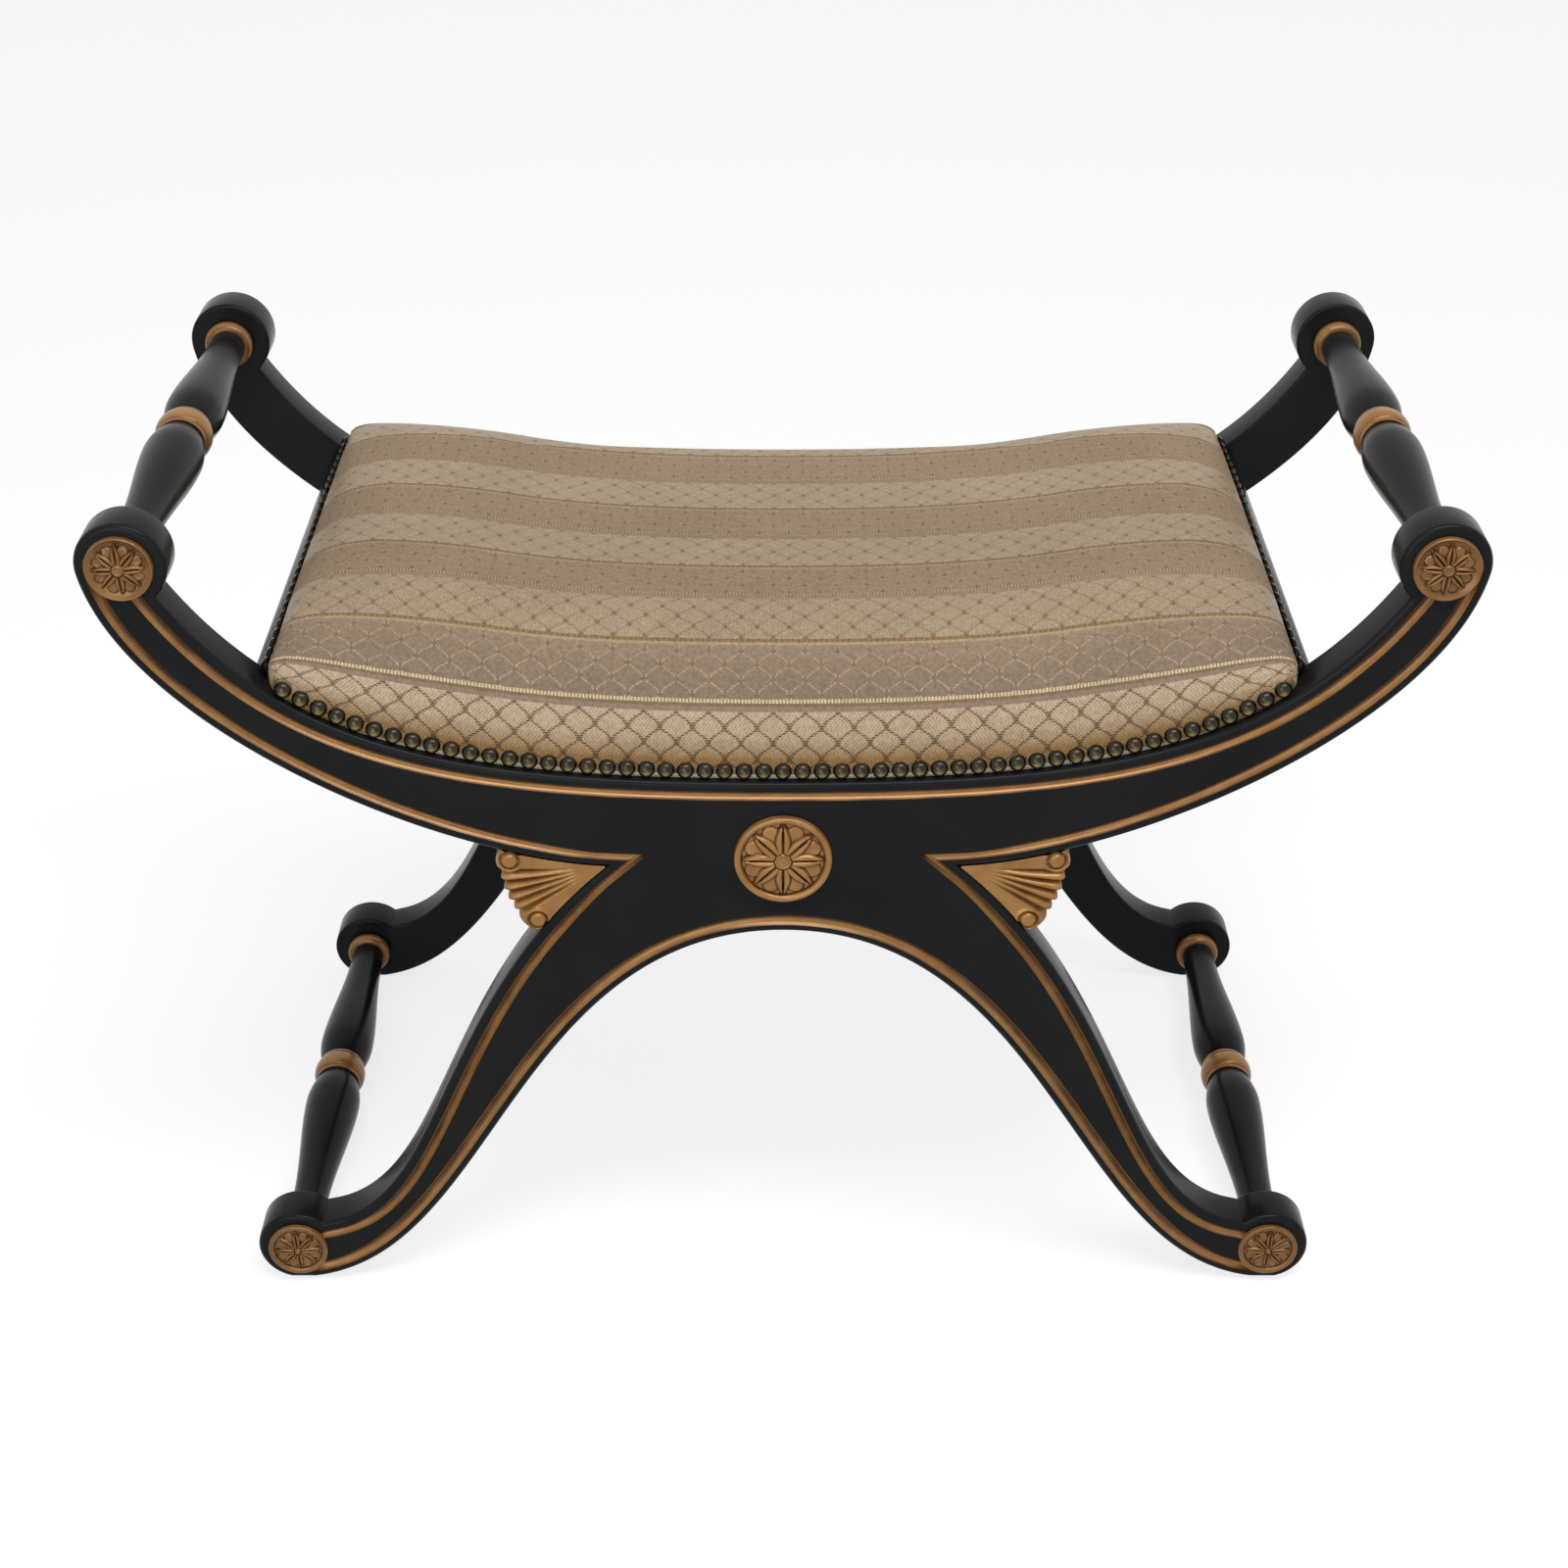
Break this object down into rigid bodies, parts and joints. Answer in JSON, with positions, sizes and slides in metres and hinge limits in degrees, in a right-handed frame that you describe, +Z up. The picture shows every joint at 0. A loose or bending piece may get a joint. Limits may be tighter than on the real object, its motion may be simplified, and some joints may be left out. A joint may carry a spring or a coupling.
{
  "type": "x-frame bench",
  "caption": "Bench with lacquered X-shaped sawn frames, gilt rosettes, grooves and fans, turned rails between round ends, and a dished striped seat with a nailed edge",
  "frame": {"origin": "on the floor, at the middle of the footprint", "axes": "+X to the viewer's right along the bench, +Y from the front to the back, +Z up"},
  "size_m": [0.8668, 0.4202, 0.5924],
  "materials": {
    "black_lacquer": "satin black lacquer on wood",
    "gilt": "carved wood, soft gold",
    "nail_bronze": "antique bronze, polished domes",
    "cover_fabric": "woven stripe, matt",
    "foam": "open foam, matt",
    "jute": "plain jute weave",
    "beech": "plain sawn beech",
    "glide_nylon": "grey-brown nylon"
  },
  "bodies": {
    "root": {"back_centre_rosette": "gilt", "back_left_arm": "black_lacquer", "back_left_arm_rosette": "gilt", "back_left_fan": "gilt", "back_left_foot_rosette": "gilt", "back_left_glide": "glide_nylon", "back_left_glue_block": "black_lacquer", "back_left_leg": "black_lacquer", "back_leg_spline": "beech", "back_nail_strip": "nail_bronze", "back_right_arm": "black_lacquer", "back_right_arm_rosette": "gilt", "back_right_fan": "gilt", "back_right_foot_rosette": "gilt", "back_right_glide": "glide_nylon", "back_right_glue_block": "black_lacquer", "back_right_leg": "black_lacquer", "back_seat_rail": "black_lacquer", "front_centre_rosette": "gilt", "front_left_arm": "black_lacquer", "front_left_arm_rosette": "gilt", "front_left_fan": "gilt", "front_left_foot_rosette": "gilt", "front_left_glide": "glide_nylon", "front_left_glue_block": "black_lacquer", "front_left_leg": "black_lacquer", "front_leg_spline": "beech", "front_nail_strip": "nail_bronze", "front_right_arm": "black_lacquer", "front_right_arm_rosette": "gilt", "front_right_fan": "gilt", "front_right_foot_rosette": "gilt", "front_right_glide": "glide_nylon", "front_right_glue_block": "black_lacquer", "front_right_leg": "black_lacquer", "front_seat_rail": "black_lacquer", "hessian_platform": "jute", "left_arm_rail": "black_lacquer", "left_foot_rail": "black_lacquer", "left_nail_strip": "nail_bronze", "left_side_rail": "black_lacquer", "right_arm_rail": "black_lacquer", "right_foot_rail": "black_lacquer", "right_nail_strip": "nail_bronze", "right_side_rail": "black_lacquer", "seat_cover": "cover_fabric", "seat_foam": "foam", "webbing_strap_1": "jute", "webbing_strap_2": "jute", "webbing_strap_3": "jute", "webbing_strap_4": "jute", "webbing_strap_5": "jute", "webbing_strap_6": "jute", "webbing_strap_7": "jute"}
  },
  "joints": []
}
